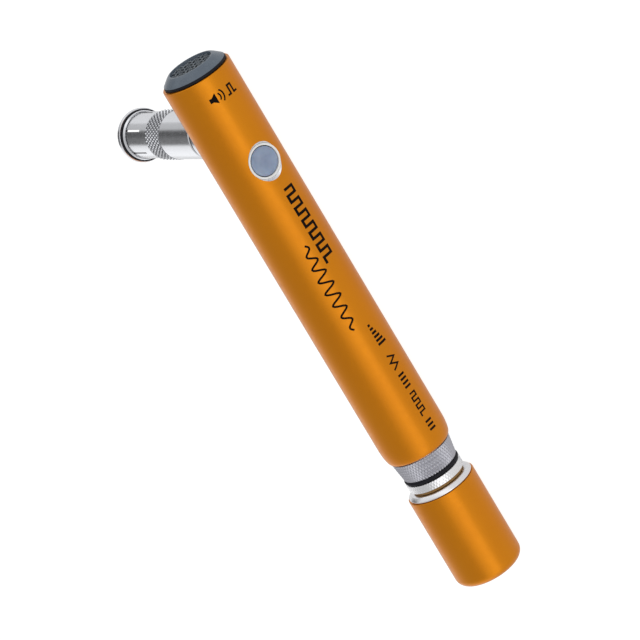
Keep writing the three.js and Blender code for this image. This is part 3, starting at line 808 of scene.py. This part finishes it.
def remote_washer():
    low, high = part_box("remote_gasket")
    # the washer fills the groove; its brown-gold colour is painted shade with a painted orange
    # reflection
    shape = turned(tube(low.x / MM, high.x / MM, 4.85, 6.1), soften=0.1)
    return place("remote_washer", shape, "remote_seal", ["remote_gasket"], tan_rubber)


# ---- studio ---------------------------------------------------------------------------------
ROOM_LEVEL = 1.3
FLOOR_SEEN = 0.96                # the floor's glow to the camera
FLOOR_MIRRORED = 0.56            # and in a reflection
FLOOR_SIZE = 3.0
FLOOR_MIDDLE = 0.06
FLOOR_GAP = 0.02 * MM            # under the barrel, so that the two don't share a plane


def studio():
    """Plain pale floor under the lying tool, in a softly lit room."""
    floor_mesh = bpy.data.meshes.new("floor")
    bm = bmesh.new()
    level = Matrix.Translation((FLOOR_MIDDLE, 0, cad_box[0][2] - FLOOR_GAP))
    bmesh.ops.create_grid(bm, x_segments=1, y_segments=1, size=FLOOR_SIZE, matrix=level)
    bm.to_mesh(floor_mesh)
    bm.free()
    floor = bpy.data.objects.new("floor", floor_mesh)
    bpy.context.scene.collection.objects.link(floor)
    white = Finish("floor_white", (0.2, 0.2, 0.2), 0.8)
    white.shader.inputs["Emission Color"].default_value = (1, 1, 1, 1)
    seen = white.node("ShaderNodeLightPath").outputs["Is Camera Ray"]
    white.links.new(white.spread(seen, FLOOR_MIRRORED, FLOOR_SEEN, 0, 1),
                    white.shader.inputs["Emission Strength"])
    floor_mesh.materials.append(white.material)

    soft_room()


def soft_room():
    """Light all round: dimmer overhead, a dark panel behind and a window in front."""
    world = bpy.data.worlds.new("soft_room")
    world.use_nodes = True
    nodes, links = world.node_tree.nodes, world.node_tree.links
    heading = nodes.new("ShaderNodeTexCoord").outputs["Generated"]

    def toward(direction, stops):
        """Brightness against how nearly a ray points in a direction."""
        dot = nodes.new("ShaderNodeVectorMath")
        dot.operation = "DOT_PRODUCT"
        dot.inputs[1].default_value = Vector(direction).normalized()
        ramp = nodes.new("ShaderNodeValToRGB")
        ramp.color_ramp.interpolation = "EASE"
        while len(ramp.color_ramp.elements) < len(stops):
            ramp.color_ramp.elements.new(0.5)
        for element, (place_on_ramp, level) in zip(ramp.color_ramp.elements, stops):
            element.position = place_on_ramp
            element.color = (level, level, level, 1)
        links.new(heading, dot.inputs[0])
        links.new(dot.outputs["Value"], ramp.inputs["Fac"])
        return ramp.outputs["Color"]

    overhead = toward((0, 0, 1), ((0.0, 1.0), (0.25, 0.97), (0.55, 0.72), (0.85, 0.5)))
    panel = toward((0.15, 0.87, 0.47), ((0.0, 1.0), (0.935, 1.0), (0.975, 0.2), (1.0, 0.2)))
    beside = toward((0.45, 0.87, 0.2), ((0.0, 1.0), (0.9, 1.0), (0.965, 0.5), (1.0, 0.5)))
    window = toward((-0.3, -0.94, 0.14), ((0.0, 0.77), (0.6, 0.77), (0.93, 0.98), (1.0, 0.98)))
    level = overhead
    for shade in (panel, beside, window):
        product = nodes.new("ShaderNodeMix")
        product.data_type = "RGBA"
        product.blend_type = "MULTIPLY"
        product.inputs["Factor"].default_value = 1.0
        links.new(level, product.inputs["A"])
        links.new(shade, product.inputs["B"])
        level = product.outputs["Result"]
    links.new(level, nodes["Background"].inputs["Color"])
    nodes["Background"].inputs["Strength"].default_value = ROOM_LEVEL
    bpy.context.scene.world = world


CAMERA_BACK = Vector((0.304, -0.869, 0.3905)).normalized()
CAMERA_UP = Vector((0.817, 0.027, -0.576))
CAMERA_DISTANCE = 1.0
CAMERA_TARGET = Vector((0.06856, 0.00246, 0.00349))
VIEW_WIDTH = 136.43146 * MM      # width of the view at the target
SENSOR = 36.0


def camera():
    """A long lens that looks down on the button side, with the speaker at the top left."""
    data = bpy.data.cameras.new("camera")
    data.sensor_width = SENSOR
    data.lens = SENSOR * CAMERA_DISTANCE / VIEW_WIDTH
    data.clip_end = 20
    up = (CAMERA_UP - CAMERA_BACK * CAMERA_UP.dot(CAMERA_BACK)).normalized()
    right = up.cross(CAMERA_BACK)
    holder = bpy.data.objects.new("camera", data)
    turn = Matrix((right, up, CAMERA_BACK)).transposed().to_4x4()
    spot = CAMERA_TARGET + CAMERA_BACK * CAMERA_DISTANCE
    holder.matrix_world = Matrix.Translation(spot) @ turn
    bpy.context.scene.collection.objects.link(holder)
    bpy.context.scene.camera = holder


bpy.context.scene.view_settings.view_transform = "Standard"
dress_frame_nodes()
camera()
studio()
barrel()
marks()
speaker_cap()
speaker_mesh()
speaker_cloth()
button()
port()
adapter_washer()
adapter_nut()
adapter_collet()
grip_ring()
adapter_core()
plug()
plug_seal()
remote()
remote_ring()
remote_washer()
